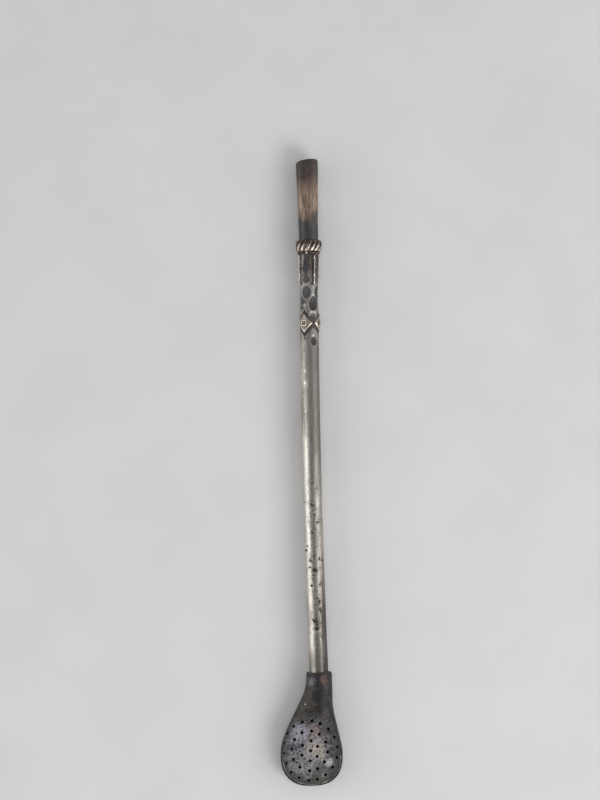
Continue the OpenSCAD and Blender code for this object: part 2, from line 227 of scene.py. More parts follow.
stem_z = np.concatenate([
    [foot, foot, foot + 0.05, foot + 0.2], np.linspace(foot + 0.5, chase_start - 2.4, 214),
    np.arange(chase_start - 2.0, shoulder - 0.02, 0.16),
    [shoulder, shoulder, spigot_top, spigot_top, chase_start - 4.0, 90.0]])
phi_grid, z_grid = np.meshgrid(all_round(144), stem_z)
outer_r = chased_skin(phi_grid, z_grid) - hand_dents(phi_grid, z_grid)
hollow = np.clip((turned_profile(z_grid) - outer_r - 0.03) / 0.36, 0, 1)
stem_r = outer_r.copy()
stem_r[:4] -= np.array([0.9, 0.22, 0.1, 0.02])[:, None]
stem_r[-5:] = np.array([spigot_r, spigot_r, bore_r, bore_r, bore_r])[:, None]
hollow[-5:] = 0
stem = make_hoop(
    "chased_stem", turned(stem_r, phi_grid, z_grid), hollow=hollow, leaf=leaf_mark(phi_grid, z_grid),
    oval=oval_mark(phi_grid, z_grid), dirt=trim_dirt(phi_grid, z_grid), ridge=ridge_mark(outer_r),
    side=stem_r * np.sin(phi_grid))


class Tone:
    """A number or colour on its way through one finish; arithmetic on numbers adds Math nodes."""

    def __init__(self, tree, socket=None):
        self.tree, self.socket = tree, socket

    def node(self, kind, sockets=(), out=0, **settings):
        """Adds a node of that kind: its settings, then each socket's value or link; gives one output."""
        made = self.tree.nodes.new("ShaderNode" + kind)
        for key, value in settings.items():
            setattr(made, key, value)
        for key, value in dict(sockets).items():
            if isinstance(value, Tone):
                self.tree.links.new(value.socket, made.inputs[key])
            else:
                made.inputs[key].default_value = value
        return Tone(self.tree, made.outputs[out])

    def sum_of(self, operation, a, b):
        """One Math node on two numbers."""
        return self.node("Math", {0: a, 1: b}, operation=operation)

    def __add__(self, other):
        return self.sum_of("ADD", self, other)

    def __sub__(self, other):
        return self.sum_of("SUBTRACT", self, other)

    def __rsub__(self, other):
        return self.sum_of("SUBTRACT", other, self)

    def __mul__(self, other):
        return self.sum_of("MULTIPLY", self, other)

    __radd__, __rmul__ = __add__, __mul__

    def most(self, other):
        """The larger of two numbers."""
        return self.sum_of("MAXIMUM", self, other)

    def rise(self, low, high):
        """0 at low, 1 at high and an S-curve between, held outside; it falls where low is above high."""
        return self.node("MapRange", {"Value": self, "From Min": low, "From Max": high},
                         interpolation_type="SMOOTHSTEP")

    def tint(self, low, high):
        """A colour from low, where this number is 0, to high, where it is 1."""
        low, high = [c if isinstance(c, Tone) else (*c, 1.0) for c in (low, high)]
        return self.node("Mix", {0: self, 6: low, 7: high}, 2, data_type="RGBA")

    def mottle(self, scale, detail=3.0, stretch=(1, 1, 1), warp=0.0):
        """Cloudy noise over a place, scale per millimetre, first stretched along the axes."""
        spread = self.node("Mapping", {"Vector": self, "Scale": stretch})
        settings = {"Vector": spread, "Scale": scale, "Detail": detail, "Distortion": warp}
        return self.node("TexNoise", settings)

    def spot(self, x, y, r, frayed=None):
        """1 within r of the upright line at x, y and 0 well outside; noise, where given, frays the edge."""
        flat = self.node("VectorMath", {0: self, 1: (1, 1, 0)}, operation="MULTIPLY")
        away = self.node("VectorMath", {0: flat, 1: (x, y, 0)}, "Value", operation="DISTANCE")
        if frayed is not None:
            away = away + (frayed - 0.5) * (2.4 * r)
        return away.rise(1.25 * r, 0.55 * r)

    def bump(self, strength, height):
        """The normal of a skin that this number raises, by a height in millimetres where it is 1."""
        return self.node("Bump", {"Height": self, "Strength": strength, "Distance": height / 1000})

    def into(self, shader, socket):
        """Links this number, colour or normal to a socket of the shader."""
        self.tree.links.new(self.socket, shader.inputs[socket])


def new_finish(name, metallic=0.0):
    """A fresh finish, as metallic as it says: its material, its shader, and the place in millimetres."""
    material = bpy.data.materials.new(name)
    material.use_nodes = True
    shader = material.node_tree.nodes["Principled BSDF"]
    shader.inputs["Metallic"].default_value = metallic
    where = Tone(material.node_tree).node("TexCoord", out="Object")
    place = where.node("VectorMath", {0: where, "Scale": 1000.0}, operation="SCALE")
    return material, shader, place


def part_of(place, axis):
    """One coordinate of a place: X across, Y along the straw, Z up."""
    return place.node("SeparateXYZ", {0: place}, axis)


def facing_up(place):
    """1 on the upper side of a round piece, eased to 0 about its axis."""
    return part_of(place, "Z").rise(axis_up - 0.2, axis_up + 0.7)


def kept(place, mark):
    """A number that the mesh keeps at its points."""
    return place.node("Attribute", out="Fac", attribute_name=mark)


def dress(piece, material, body, slot, *nodes):
    """Gives a piece its finish and its body, and hides the solids it stands for; the slot is not used."""
    piece.data.materials.append(material)
    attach(piece, body)
    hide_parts(*nodes)


silver_bright, silver_dull, silver_rubbed_and_glint = (0.78, 0.735, 0.665), (0.44, 0.404, 0.37), (0.92, 0.9, 0.86)
tea_stain, tea_film, grain_dark = (0.24, 0.21, 0.165), (0.2, 0.182, 0.165), (0.14, 0.123, 0.106)
pit_dirt, trim_black, collar_brown = (0.026, 0.022, 0.019), (0.05, 0.042, 0.04), (0.22, 0.186, 0.157)
chased_grey, chased_shade = (0.37, 0.346, 0.32), (0.25, 0.232, 0.216)
oval_rim_shade, oval_dark, oval_grey = (0.042, 0.04, 0.038), (0.055, 0.053, 0.051), (0.115, 0.112, 0.118)
leaf_black, leaf_blue = (0.03, 0.03, 0.036), (0.05, 0.055, 0.066)
# The deepest pits, and the places of painted glints: how far across, how far along, and their radius.
pit_places = [
    (2.5, -34.4, 1.05), (1.0, -33.4, 0.5), (3.3, -44.2, 0.45), (2.9, -54.8, 0.8),
    (-0.1, -27.5, 0.34), (-0.2, -10.6, 0.3), (3.0, -14.8, 0.45), (4.0, -17.6, 0.5),
    (5.4, -31.0, 0.5), (1.5, -39.8, 0.5), (3.0, -53.5, 0.65), (0.25, -26.0, 0.3)]
glint_places = [
    (4.37, 62.15, 0.42), (1.2, 58.6, 0.62), (4.0, 47.9, 0.58), (0.75, 31.4, 0.5),
    (0.8, 35.4, 0.4), (0.8, 21.4, 0.35)]
stem_metal, shader, place = new_finish("nickel_silver_worn")
up = part_of(place, "Y") + half_length
across = kept(place, "side")
drawn = place.mottle(2.2, 2.0, (1, 0.05, 1))
hair = place.mottle(7.0, 2.0, (1, 0.03, 1))
cloud = place.mottle(0.16, 4.0, (1, 0.45, 1), 0.4)
blot = place.mottle(0.42, 4.0, (1, 0.75, 1))
grit = place.mottle(2.2, 4.0, (1, 0.8, 1))
# Pits and black specks lie thickest below the middle of the tube.
pitted = up.rise(116, 98) * (0.5 + 0.5 * up.rise(40, 62))
midway = across.rise(-1.4, -0.2) * across.rise(2.6, 1.4)
pits = (blot * 0.8 + grit * 0.3 + (cloud - 0.5) * 0.3 + midway * 0.06).rise(0.7, 0.74) * pitted
upper_side = facing_up(place)
for x, y, r in pit_places:
    pits = pits.most(place.spot(x, y, r, blot * 0.7 + grit * 0.3) * upper_side)
fleck = place.mottle(1.15, 3.0, (1, 0.7, 1))
specks = grit.rise(0.66, 0.72) * (0.12 + 0.6 * pitted * midway)
specks = specks.most(fleck.rise(0.63, 0.68) * pitted * (0.4 + 0.5 * midway))
# Tea stains, tired and hazy metal, a painted highlight down the left side, and darker metal along the right
# flank, darkest low down.
stain = (blot + (grit - 0.5) * 0.8 + up.rise(84, 52) * 0.12).rise(0.46, 0.66) * up.rise(120, 104)
stain = stain * (0.2 + 0.8 * midway)
right_flank = across.rise(0.4, 2.0) * 0.75
top_haze = up.rise(100, 140)
# Painted highlight: the left side of the tube is kept brighter and less dull.
left_highlight = 0.08 + 0.16 * up.rise(62, 74) - 0.14 * top_haze + 0.2 * up.rise(119, 109) * up.rise(68, 76)
dull_but_lit_left = cloud + (drawn - 0.5) * 0.45 + top_haze * 0.22 + up.rise(58, 42) * 0.16 + right_flank * 0.2
dull_but_lit_left = (dull_but_lit_left - left_highlight * across.rise(-0.2, -1.4)).rise(0.42, 0.72)
# Darker along the right flank, most of all low down.
dark_right_edge = across + (cloud - 0.5) * 1.2 + (grit - 0.5) * 0.8 + up.rise(66, 52) * 0.5
dark_right_edge = dark_right_edge.rise(1.4, 2.5) * up.rise(92, 62)
dirty = pits.most(specks).most(dark_right_edge * 0.85)
skin_tone = (stain * 0.75).tint(dull_but_lit_left.tint(silver_bright, silver_dull), tea_stain)
browned = (across.rise(-0.8, 0.9) * up.rise(98, 122) * 0.75).most(up.rise(56, 46) * midway * 0.6)
browned = browned.most((up + (blot - 0.5) * 8.0).rise(50, 41) * 0.7)
skin_tone = browned.tint(skin_tone, tea_film)
grain = (grit * 0.5 + drawn * 0.35 + fleck * 0.3).rise(0.5, 0.72)
skin_tone = (grain * (0.34 + 0.2 * top_haze)).tint(skin_tone, grain_dark)
skin_tone = dirty.tint(skin_tone, pit_dirt)
# The chased end is greyer, brown below the collar, and black in its hollows and beside the trim; the oval
# hollows also get painted shade at their rims and towards their right.
chased = up.rise(153, 158) * (0.6 + 0.4 * cloud.rise(0.35, 0.6))
skin_tone = chased.tint(skin_tone, blot.rise(0.36, 0.64).tint(chased_grey, chased_shade))
collar = (up + (blot - 0.5) * 6.0).rise(177.0, 181.0) * (1 - 0.9 * kept(place, "hollow").rise(0.25, 0.75))
collar_tone = (grit * 0.6 + drawn * 0.5).rise(0.44, 0.68).tint(collar_brown, trim_black)
skin_tone = (collar * 0.9).tint(skin_tone, collar_tone)
ridge = kept(place, "ridge") + (grit - 0.5) * 0.7
skin_tone = (ridge.rise(-0.15, -0.7) * 0.6).tint(skin_tone, trim_black)
trim_darkened = (kept(place, "dirt") + (grit - 0.5) * 0.9 + (blot - 0.5) * 0.8).rise(0.35, 0.95)
skin_tone = (trim_darkened * 0.85).tint(skin_tone, trim_black)
oval = kept(place, "oval") + (grit - 0.5) * 0.25 + (blot - 0.5) * 0.45
sunk = oval.rise(0.02, 0.48) * across.rise(-2.9, -1.9).most(up.rise(170.6, 172.0))
oval_floor = up.rise(170, 173).tint(oval_dark, oval_grey)
# Painted shade: each oval is darker at its rim and towards the right, over the dark oxide of its floor.
oval_oxide_and_shade = (oval - across * 0.12).rise(0.2, 0.8).tint(oval_rim_shade, oval_floor)
skin_tone = (sunk * 0.92).tint(skin_tone, oval_oxide_and_shade)
leaf = (kept(place, "leaf") + (grit - 0.5) * 0.5 + (blot - 0.5) * 0.4).rise(0.2, 0.8)
skin_tone = (leaf * 0.9).tint(skin_tone, up.rise(186.5, 181.5).tint(leaf_black, leaf_blue))
# Ridges are rubbed bright; a few small places and flecks at the left of the leaves are painted glints.
glints_beside_wire = across.rise(-2.0, -2.5) * up.rise(174, 176) * up.rise(187, 185.5) * grit.rise(0.46, 0.62)
brightened = ridge.rise(0.3, 1.1) * blot.rise(0.42, 0.64) * up.rise(152, 156) * (1 - collar) * (1 - sunk) * 0.6
glint = upper_side * (0.9 - 0.4 * up.rise(148, 152))
for x, y, r in glint_places:
    brightened = brightened.most(place.spot(x, y, r, grit) * glint)
brightened = brightened.most(glints_beside_wire * 0.7)
(brightened * 0.9).tint(skin_tone, silver_rubbed_and_glint).into(shader, "Base Color")
dull = dirty.most(trim_darkened * 0.4).most(sunk * 0.45).most(leaf * 0.5) * (1 - brightened)
(0.24 + 0.1 * dull_but_lit_left + 0.12 * drawn + 0.3 * dirty + 0.12 * top_haze + 0.04 * sunk).into(shader, "Roughness")
(1 - 0.7 * dull - 0.2 * stain).into(shader, "Metallic")
(drawn * 0.35 + hair * 0.7 + grit * 0.4 + blot * 0.5 - pits).bump(0.6, 0.11).into(shader, "Normal")
dress(stem, stem_metal, "straw", "nickel_silver", "stem_tube")

# Four twisted wires, flat strips wrung like a cord and soldered straight down the tube between the leaves.
# The gilding is left on their crests; below, next to the tube, they are dark with old dirt.
wire_half, wire_flat, wire_twist, wire_gap, wire_len = 0.36, 0.21, 4.0, 0.04, 10.6


def twisted_wire(phi):
    """An ellipse carried up the tube and turned unevenly as it goes, about a full turn each twist; it thins
    here and there by two slow waves, and its ends are rounded over. The path keeps its half width off the
    skin."""
    t = np.concatenate([[0, 0, 0.004], np.linspace(0.012, 0.988, 110), [0.996, 1, 1]])[:, None]
    swell = np.ones_like(t)
    swell[[0, -1]], swell[[1, -2]], swell[[2, -3]] = 0.3, 0.7, 0.92
    ring = all_round(24)
    z = shoulder - 0.4 - wire_len * (1 - t)
    wring = 2 * np.pi * t * wire_len / wire_twist + 0.7 * np.sin(11 * t + 3 * phi)
    swell = swell * (1 - 0.12 * (1 + np.sin(19 * t + 2 * phi) * np.cos(7 * t)))
    p, q = wire_half * swell * np.cos(ring), wire_flat * swell * np.sin(ring)
    out = p * np.cos(wring) - q * np.sin(wring)
    along = p * np.sin(wring) + q * np.cos(wring)
    r = turned_profile(z) + wire_half + wire_gap + out
    return turned(r, phi + along / r, z + 0 * ring), out / wire_half


def closed_ends(rows, cols):
    """The faces of a tube of rings that runs from first to last, with one flat face over each end."""
    ring = np.arange(cols)
    return cells(rows, cols, False, True)[:, ::-1].tolist() + [
        ring.tolist(), (rows * cols - 1 - ring).tolist()]


wire_dirt, wire_bare, wire_gold = (0.1, 0.087, 0.078), (0.84, 0.82, 0.78), (0.74, 0.64, 0.52)
wire_metal, shader, place = new_finish("wrung_wire_gilt", 1.0)
crest = kept(place, "crest")
rubbed = (crest + (place.mottle(0.9, 3.0) - 0.5) * 1.5).rise(-0.1, 0.7)
gold_left = place.mottle(0.35, 2.0).rise(0.38, 0.6)
rubbed.tint(wire_dirt, gold_left.tint(wire_bare, wire_gold)).into(shader, "Base Color")
(0.46 - 0.2 * rubbed).into(shader, "Roughness")
for number, turn in enumerate(leaf_turns + wire_turn, 1):
    points, height = twisted_wire(turn)
    wire = make_piece(f"twisted_wire_{number}", points, closed_ends(*points.shape[:2]), crest=height)
    dress(wire, wire_metal, "straw", "gilt_wire", f"wire_{number}")

# Three lozenges cut from thin sheet, bent to the tube and soldered down.
# Their face is stippled with a fine round punch, which left dark pits in the worn gilding.
stipple_pitch, stipple_depth = 0.46, 0.06


def on_plate(x, z, r, turn):
    """A point of a drawing laid on the tube: x is as seen square on, so its angle is an arc sine."""
    return turned(r, turn + np.arcsin(np.clip(x / r, -1, 1)), lozenge_at + z)


def slab(top, bottom):
    """A closed plate from two grids of the same size: both faces, and a wall round their four edges."""
    rows, cols = top.shape[:2]
    faces, n = cells(rows, cols, False, False), rows * cols
    number = np.arange(n).reshape(rows, cols)
    edge = np.concatenate([number[0, :-1], number[:-1, -1], number[-1, :0:-1], number[:0:-1, 0]])
    after = np.roll(edge, -1)
    wall = np.stack([edge, edge + n, after + n, after], -1)
    points = np.concatenate([top.reshape(-1, 3), bottom.reshape(-1, 3)])
    return points, np.concatenate([faces, faces[:, ::-1] + n, wall])


def stippled_lozenge(turn):
    """A rhombus on a square grid: x and z are the difference and the sum of the grid's two parameters.
    The face drops by a punch mark wherever two crossed cosines both peak."""
    s, t = np.meshgrid(np.linspace(-1, 1, 64), np.linspace(-1, 1, 64))
    x, z = lozenge_w * (s - t) / 2, lozenge_h / 2 * (s + t) / 2
    a, b = 2 * np.pi * (x + z) / stipple_pitch, 2 * np.pi * (x - z) / stipple_pitch
    peaks = np.cos(a + 0.7 * np.sin(2.1 * z)) + np.cos(b + 0.7 * np.sin(1.7 * x + 1))
    mark = ease((peaks - 0.2) / 1.4)
    rim = ease((1 - np.maximum(np.abs(s), np.abs(t))) / 0.06)
    top = on_plate(x, z, plate_ro - stipple_depth * mark * rim, turn)
    points, faces = slab(top, on_plate(x, z, plate_ri, turn))
    cupped = ease((0.72 - np.maximum(np.abs(x), np.abs(z))) / 0.12)
    return points, faces, np.concatenate([np.maximum(mark, cupped), 0 * mark])


gilt_shade, gilt_face, punch_brown = (0.24, 0.2, 0.165), (0.62, 0.56, 0.48), (0.06, 0.045, 0.036)
lozenge_metal, shader, place = new_finish("stippled_gilt", 0.7)
pit = kept(place, "punched")
brightened = place.mottle(0.8, 4.0).rise(0.35, 0.66)
(pit * 0.85).tint(brightened.tint(gilt_shade, gilt_face), punch_brown).into(shader, "Base Color")
(0.34 + 0.25 * pit + 0.1 * brightened).into(shader, "Roughness")
for number, turn in enumerate(lozenge_turns, 1):
    points, faces, mark = stippled_lozenge(turn)
    lozenge = make_piece(f"stippled_lozenge_{number}", points, faces, punched=mark)
    dress(lozenge, lozenge_metal, "straw", "gilt_lozenge", f"lozenge_{number}")

# Each lozenge has a border of half-round gilt strip, mitred at its four corners.
# It stands proud of the sheet and is rubbed bright along its crown, with a painted highlight making the
# crown brighter along the lower edges.
border_w, border_h = 0.42, 0.18
corner_share = border_w * np.hypot(lozenge_h / 2, lozenge_w) / (lozenge_w * lozenge_h / 2)


def mitred_border(turn):
    """A half-round section carried round a rhombus: moving in shrinks the rhombus in proportion, so the
    corners are mitred by themselves, and the height over the plate follows the half circle."""
    side = np.linspace(0, 1, 24, endpoint=False)
    corner = np.array([[0, 1], [1, 0], [0, -1], [-1, 0], [0, 1]], float)
    path = np.concatenate([mix(corner[k], corner[k + 1], side[:, None]) for k in range(4)])
    arch = np.linspace(0, np.pi, 10)
    share = np.concatenate([0.5 - 0.5 * np.cos(arch), [0.75, 0.25]])
    height = np.concatenate([border_h * np.sin(arch) ** 0.6, [0, 0]])
    height[[0, 9]] = 0
    scale = 1 - corner_share * share[None, :]
    x, z = lozenge_w * path[:, :1] * scale, lozenge_h / 2 * path[:, 1:] * scale
    return on_plate(x, z, plate_ro + height[None, :] + 0 * x, turn), height[None, :] + 0 * x


trim_brown, trim_gold, trim_bare = (0.16, 0.12, 0.09), (0.72, 0.63, 0.5), (0.78, 0.74, 0.68)
trim_metal, shader, place = new_finish("rubbed_gilt_trim", 1.0)
crown = kept(place, "crest")
over_middle = part_of(place, "Y") + (half_length - lozenge_at)
# Painted highlight: the crown is brighter along the lozenge's lower edges.
lit_lower_side = over_middle.rise(1.2, -0.6)
shine = (crown * 1.4 + (place.mottle(1.3, 3.0) - 0.5) * 0.7).rise(0.12, 0.55) * (0.45 + 0.55 * lit_lower_side)
crown_tone = place.mottle(0.5, 2.0).rise(0.35, 0.65).tint(trim_gold, trim_bare)
shine.tint(trim_brown, crown_tone).into(shader, "Base Color")
(0.46 - 0.22 * shine).into(shader, "Roughness")
for number, turn in enumerate(lozenge_turns, 1):
    points, height = mitred_border(turn)
    border = make_hoop(f"lozenge_border_{number}", points, crest=height / border_h)
    dress(border, trim_metal, "straw", "gilt_trim", f"frame_{number}")

# In the middle of each lozenge a square collet, a low four-walled cup, holds a small gilt pellet.
# The cup is folded from strip and soldered at one corner; inside it is nearly black.
cup_half, cup_h, pellet_r = 1.0, 0.28, 0.28


def square_cup(turn):
    """A wall carried round a rounded square: half the side over the larger of cosine and sine, softened by
    a high power. The section runs up the outside, over the rim and down the inside to the plate."""
    angle, power = all_round(96), 9
    reach = (np.abs(np.cos(angle)) ** power + np.abs(np.sin(angle)) ** power) ** (-1 / power)
    half = np.array([1.0, 1.0, 0.97, 0.9, 0.7, 0.64, 0.6, 0.6])[:, None] * cup_half
    rise = np.array([0.0, 0.8, 0.95, 1.0, 1.0, 0.95, 0.8, 0.0])[:, None]
    x, z = half * reach * np.sin(angle), half * reach * np.cos(angle)
    seat = np.sqrt(plate_ro**2 - x**2)
    flat = mix(seat, plate_ro + cup_h, rise)
    points = turned(np.hypot(flat, x), turn + np.arctan2(x, flat), lozenge_at + z)
    return points, np.where(half > 0.65, rise, 0.0) + 0 * x


cup_dark, cup_rim = (0.05, 0.038, 0.03), (0.68, 0.6, 0.48)
cup_metal, shader, place = new_finish("collet_brown", 1.0)
rim_wear = (kept(place, "crest") + (place.mottle(1.6, 3.0) - 0.5) * 0.5).rise(0.5, 0.95)
rim_wear.tint(cup_dark, cup_rim).into(shader, "Base Color")
(0.5 - 0.2 * rim_wear).into(shader, "Roughness")
for number, turn in enumerate(lozenge_turns, 1):
    points, height = square_cup(turn)
    cup = make_hoop(f"square_collet_{number}", points, crest=height)
    dress(cup, cup_metal, "straw", "gilt_trim", f"collet_{number}")


def pellet_balls():
    """Three balls, each a sphere by its two angles, seated on the plates, with a flat at each pole."""
    pole = 0.04
    polar = np.linspace(pole, np.pi - pole, 18)[:, None]
    turn = all_round(32)
    side, up = pellet_r * np.sin(polar) * np.cos(turn), pellet_r * np.sin(polar) * np.sin(turn)
    out = np.cos(polar) + 0 * turn
    flat = plate_ro + pellet_r + pellet_r * out
    around = lozenge_turns[:, None, None] + np.arctan2(side, flat)
    points = turned(np.hypot(flat, side), around, lozenge_at + up)
    one = closed_ends(*out.shape)
    faces = [(np.array(face) + ball * out.size).tolist() for ball in range(3) for face in one]
    return points, faces, np.tile(out.ravel(), 3)


points, faces, height = pellet_balls()
pellets = make_piece("gilt_pellets", points, faces, crest=height)
dress(pellets, trim_metal, "straw", "gilt_trim", "pellets")

# The seat ring: a plain half-round band of dark bronze, soldered over the joint below the knop.
# It hides the end of the chasing and takes the knop's lower edge.
seat_r, seat_h, mouth_r, solder_gap = 4.0, 1.0, 3.4, 0.06
collar_bore = mouth_r + solder_gap
bronze_dark, bronze_rubbed, bead_white = (0.085, 0.073, 0.064), (0.33, 0.27, 0.2), (0.8, 0.77, 0.74)


def half_round_band():
    """A half circle outside a short sleeve, turned about the tube; its inside runs straight down."""
    arch, half = np.linspace(-np.pi / 2, np.pi / 2, 15), seat_h / 2
    r = np.concatenate([seat_r - half + half * np.cos(arch), [collar_bore, collar_bore]])
    z = shoulder + half + np.concatenate([half * np.sin(arch), [half, -half]])
    phi = all_round(128)
    return turned(r[:, None] + 0 * phi, phi, z[:, None] + 0 * phi)


bronze, shader, place = new_finish("seat_bronze_dark", 1.0)
rub = (place.mottle(0.7, 4.0) + place.mottle(3.0, 2.0) * 0.4).rise(0.72, 0.92)
bead = place.spot(2.45, 77.0, 0.45) * facing_up(place)
bead.tint(rub.tint(bronze_dark, bronze_rubbed), bead_white).into(shader, "Base Color")
(0.46 - 0.14 * rub).into(shader, "Roughness")
band = make_hoop("seat_band", half_round_band())
dress(band, bronze, "straw", "dark_bronze", "seat_ring")

# The knop: a cast collar of fourteen slanted lobes, like a thick cord wound into a ring.
# The gilding has gone from the grooves and is rubbed thin on the crests; a painted highlight makes the
# lower side paler.
knop_r, knop_h, knop_lobes, lobe_depth = 4.7, 3.9, 14, 0.42
knop_foot, lobe_slant = shoulder + seat_h, np.radians(28)
groove_brown, gilt_brown = (0.07, 0.052, 0.044), (0.14, 0.105, 0.08)
gilt_tan, gilt_pale = (0.4, 0.32, 0.25), (0.72, 0.64, 0.55)


def roped_collar():
    """A barrel whose radius falls between lobes: the lobe is the cosine of half the lobe count times the
    angle, sheared with height, and its fall is sharpened by a power below the crest."""
    t = np.concatenate([np.linspace(0, 0.06, 5), np.linspace(0.09, 0.91, 30), np.linspace(0.94, 1, 5)])
    t = t[:, None]
    phi = all_round(knop_lobes * 22)
    bulge = (1 - np.abs(2 * t - 1) ** 2.4) ** 0.6
    crest = mix(seat_r - 0.05, knop_r - 0.03, bulge)
    sheared = phi - lobe_slant * (t - 0.5)
    lobe = np.abs(np.cos(knop_lobes / 2 * sheared + 0.25 * np.sin(3 * phi)))
    fall = (0.35 + 0.65 * bulge) * (1 - lobe) ** 1.3
    r = crest - lobe_depth * fall + 0.03 * np.sin(5 * phi + 2 * t) * bulge
    r = np.minimum(r, knop_r)
    inner = np.full((2, phi.size), collar_bore)
    z = knop_foot + knop_h * np.concatenate([t, [[1.0], [0.0]]])
    return turned(np.concatenate([r, inner]), phi, z), np.concatenate([1 - fall, 0 * inner])


knop_metal, shader, place = new_finish("knop_gilt_worn", 0.9)
height = kept(place, "crest")
rubbed = (height + (place.mottle(0.8, 3.0) - 0.5) * 0.5).rise(0.62, 0.98)
# Painted highlight: the knop's lower side is paler, and its crests show brighter there.
lit_low_side = (part_of(place, "Y") + (place.mottle(0.7, 2.0) - 0.5) * 3.0).rise(80.6, 79.0)
gold = place.mottle(0.9, 3.0).rise(0.4, 0.62).tint(gilt_brown, gilt_tan)
gold = (lit_low_side * 0.85).tint(gold, gilt_pale)
(rubbed * (0.4 + 0.6 * lit_low_side)).tint(groove_brown, gold).into(shader, "Base Color")
(0.42 - 0.16 * rubbed).into(shader, "Roughness")
place.mottle(3.0, 3.0).bump(0.5, 0.1).into(shader, "Normal")
points, height = roped_collar()
collar = make_hoop("roped_knop", points, crest=height)
dress(collar, knop_metal, "straw", "gilt_knop", "knop")

# The mouthpiece: a copper tube slipped over the spigot, squeezed flatter and wider at the lips
# and cut aslant. Heat and lips left it blue-black at the root, bare copper midway, brown at the end.
mouth_foot, mouth_top = knop_foot + knop_h, 220.9
mouth_len, mouth_w, mouth_t, mouth_wall = 29.0, 7.75, 5.8, 0.5
slant, rake = np.tan(np.radians(7)), np.tan(np.radians(20))
copper_shade, copper_bare = (0.165, 0.118, 0.09), (0.37, 0.264, 0.197)
root_blue, end_brown, streak_tan = (0.066, 0.063, 0.066), (0.072, 0.058, 0.052), (0.16, 0.128, 0.106)
lip_black, fleck_grey = (0.03, 0.027, 0.026), (0.3, 0.29, 0.29)


def squared_off(wave, e):
    """A superellipse's coordinate: a sine or cosine raised to a power, with its sign kept."""
    return np.sign(wave) * np.abs(wave) ** e


def squeezed_tube():
    """A circle eased into a wider, thinner superellipse up the tube, powers of cosine and sine. The end is
    sheared by a slant across and a rake from front to back; the lip is rounded over into the inside."""
    root = np.linspace(shoulder, mouth_foot - 0.1, 6)
    body = np.linspace(mouth_foot + 0.3, mouth_top - 0.7, 90)
    lip = mouth_top - np.array([0.5, 0.3, 0.15, 0.05, 0.0, 0.05, 0.2, 0.5])
    lip_cut = [0.01, 0.04, 0.09, 0.16, 0.25, 0.36, 0.45, mouth_wall]
    z = np.concatenate([root, body, lip, [shoulder + 25.0, shoulder]])[:, None]
    cut = np.concatenate([0 * root, 0 * body, lip_cut, [mouth_wall, mouth_wall]])[:, None]
    phi = all_round(128)
    t = ease((z - mouth_foot) / mouth_len)
    e = mix(1, 0.84, t)
    hammered = 0.012 * t * (1 - t) * 4 * (np.cos(3 * phi + 0.5 * z) + np.cos(5 * phi - 0.31 * z))
    skin = hammered - cut - 0.02
    x = (mix(mouth_r, mouth_w / 2, t) + skin) * squared_off(np.sin(phi), e)
    y = -(mix(mouth_r, mouth_t / 2, t) + skin) * squared_off(np.cos(phi), e)
    share = np.maximum(0, (z - mouth_foot) / mouth_len)
    return lay(x, y, z - ((mouth_w / 2 - x) * slant + (mouth_t / 2 + y) * rake) * share)


copper, shader, place = new_finish("mouth_copper_tarnished")
up = part_of(place, "Y") + half_length
streak = place.mottle(1.4, 3.0, (1, 0.14, 1))
fine = place.mottle(4.0, 3.0, (1, 0.12, 1))
cloud = place.mottle(0.26, 4.0, (1, 0.8, 1), 0.5)
grit = place.mottle(2.4, 3.0)
level = up + (cloud - 0.5) * 9.0 + (streak - 0.5) * 4.0 + (fine - 0.5) * 2.0
bare = level.rise(197.0, 204.4) * level.rise(215.8, 207.8)
bright = (streak + (cloud - 0.5) * 0.6 + (fine - 0.5) * 0.5).rise(0.3, 0.74)
copper_tone = bright.tint(copper_shade, copper_bare)
dark_tone = level.rise(196.5, 201.5).tint(root_blue, end_brown)
dark_tone = ((streak * 0.6 + fine * 0.5).rise(0.56, 0.74) * 0.5).tint(dark_tone, streak_tan)
lip_soot = (cloud + (grit - 0.5) * 0.8).rise(0.55, 0.72) * level.rise(212, 215)
dark_tone = (lip_soot * 0.45).tint(dark_tone, lip_black)
dark_tone = (grit.rise(0.62, 0.74) * 0.3).tint(dark_tone, fleck_grey)
bare.tint(dark_tone, copper_tone).into(shader, "Base Color")
(0.4 + 0.14 * (1 - bright) - 0.06 * bare).into(shader, "Roughness")
(0.55 - 0.25 * bare).into(shader, "Metallic")
(streak * 0.5 + fine * 0.4 + grit * 0.3).bump(0.4, 0.08).into(shader, "Normal")
mouthpiece = make_hoop("copper_mouthpiece", squeezed_tube())
dress(mouthpiece, copper, "straw", "mouth_copper", "mouthpiece")

# The socket sleeve: a short copper tube soldered inside the neck of the strainer.
# The stem pushes into it, so that the strainer can be pulled off and washed.
head_len, sleeve_foot = socket_mouth, 29.0
sleeve_r, socket_r = 3.79, 3.34
socket_copper, socket_brown = (0.36, 0.24, 0.17), (0.12, 0.09, 0.075)


def socket_tube():
    """A plain sleeve with eased rims: an outer and an inner circle joined at both ends."""
    fall, inset = np.array([0.34, 0.09, 0.02, 0.0]), np.array([0.0, 0.0, 0.05, 0.15])
    r = np.concatenate([sleeve_r - fall, sleeve_r - fall[::-1], socket_r + np.array([0.03, 0, 0, 0.03])])
    z = np.concatenate([sleeve_foot + inset, head_len - inset[::-1],
                        head_len - inset[2:], sleeve_foot + inset[:1:-1]])
    phi = all_round(96)
    return turned(r[:, None] + 0 * phi, phi, z[:, None] + 0 * phi)


socket_metal, shader, place = new_finish("socket_copper_brown", 1.0)
film = place.mottle(0.5, 4.0, (1, 0.4, 1)).rise(0.36, 0.64)
film.tint(socket_copper, socket_brown).into(shader, "Base Color")
(0.36 + 0.16 * film).into(shader, "Roughness")
socket = make_hoop("socket_tube", socket_tube())
dress(socket, socket_metal, "strainer", "socket_copper", "socket_sleeve")

